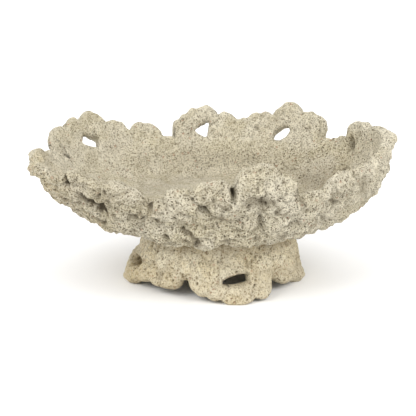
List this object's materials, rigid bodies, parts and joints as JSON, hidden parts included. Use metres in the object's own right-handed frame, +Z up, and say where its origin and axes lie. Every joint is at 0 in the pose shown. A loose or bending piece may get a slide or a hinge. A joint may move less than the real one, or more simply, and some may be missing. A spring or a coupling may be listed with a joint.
{
  "type": "coral-stone footed bowl",
  "caption": "Wide shallow bowl in coral-stone form: lobed rim, pitted wall with a few holes through its back, on a hollow flared foot with a lobed hem.",
  "frame": {"origin": "middle of the whole part's footprint box, on the table", "axes": "+X to the bowl's right end, along its longest side; +Y to its back, where the holes are; +Z up"},
  "size_m": [0.4988, 0.411, 0.204],
  "materials": {
    "bowl": "matt, porous",
    "foot": "matt, porous"
  },
  "bodies": {
    "root": {"bowl": "bowl", "foot": "foot"}
  },
  "joints": []
}
